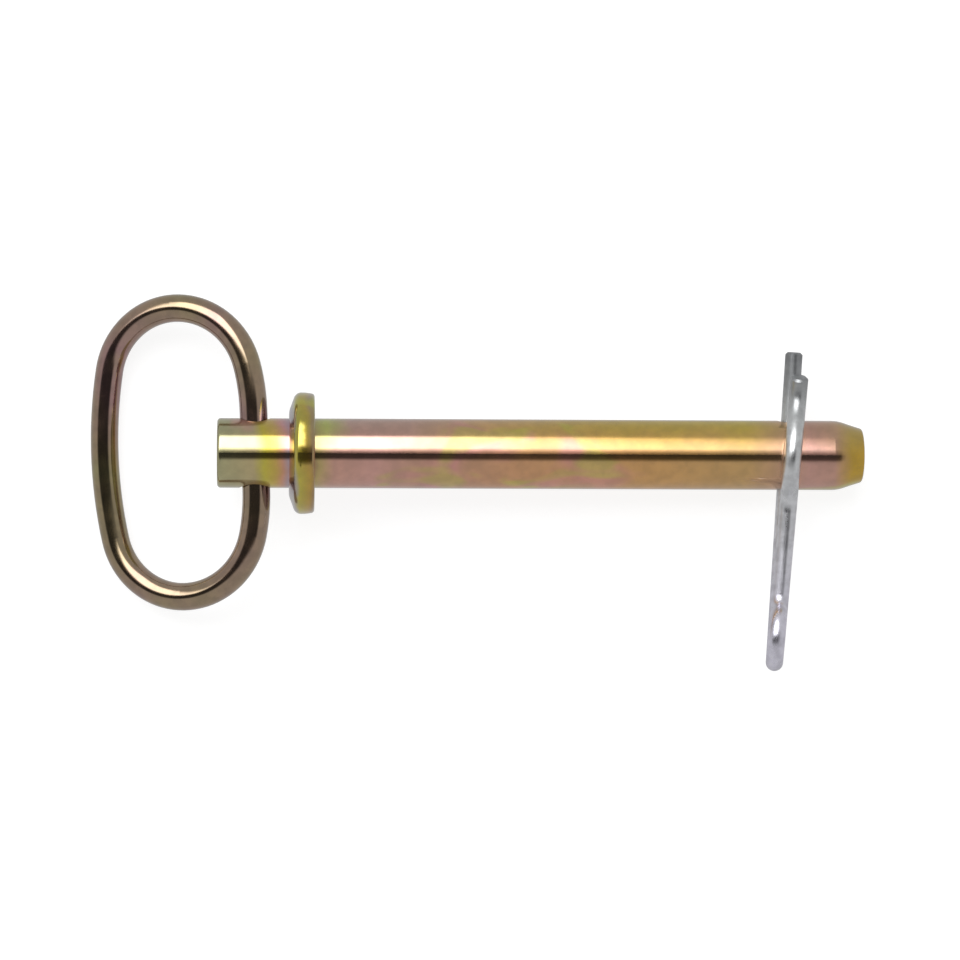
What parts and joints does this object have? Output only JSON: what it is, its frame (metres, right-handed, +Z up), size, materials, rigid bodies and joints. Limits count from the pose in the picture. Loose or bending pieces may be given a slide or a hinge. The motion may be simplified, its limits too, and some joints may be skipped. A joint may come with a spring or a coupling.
{
  "type": "hitch pin",
  "caption": "Collared hitch pin with a swinging oval handle ring and a hairpin spring clip through its tapered tip, for joining a drawbar or hitch.",
  "frame": {"origin": "centre of the collar's bearing face, on the pin's own axis", "axes": "the pin lies on a flat floor as it comes to rest: +X runs level from the handle towards the tip, straight above the pin's axis, which dips 2.8 degrees towards the tip; +Z is up; the clip's eye points to -Y"},
  "size_m": [0.1773, 0.0855, 0.0277],
  "materials": {
    "yellow_chromate": "bright zinc with an iridescent yellow chromate",
    "bright_zinc": "bright silver zinc"
  },
  "bodies": {
    "pin": {"pin": "yellow_chromate"},
    "handle": {"handle_ring": "yellow_chromate"},
    "clip": {"hairpin_clip": "bright_zinc"}
  },
  "joints": [
    {"name": "handle_swing", "type": "hinge", "parent": "pin", "child": "handle", "pos_m": [-0.01353, 0, 0.00066], "axis": [0, 1, 0], "range_deg": [-140, 181]},
    {"name": "clip_pull", "type": "slide", "parent": "pin", "child": "clip", "axis": [-0.0598, -0.9982, 0.0029], "range_m": [0, 0.034], "deforming": ["hairpin_clip"]}
  ]
}
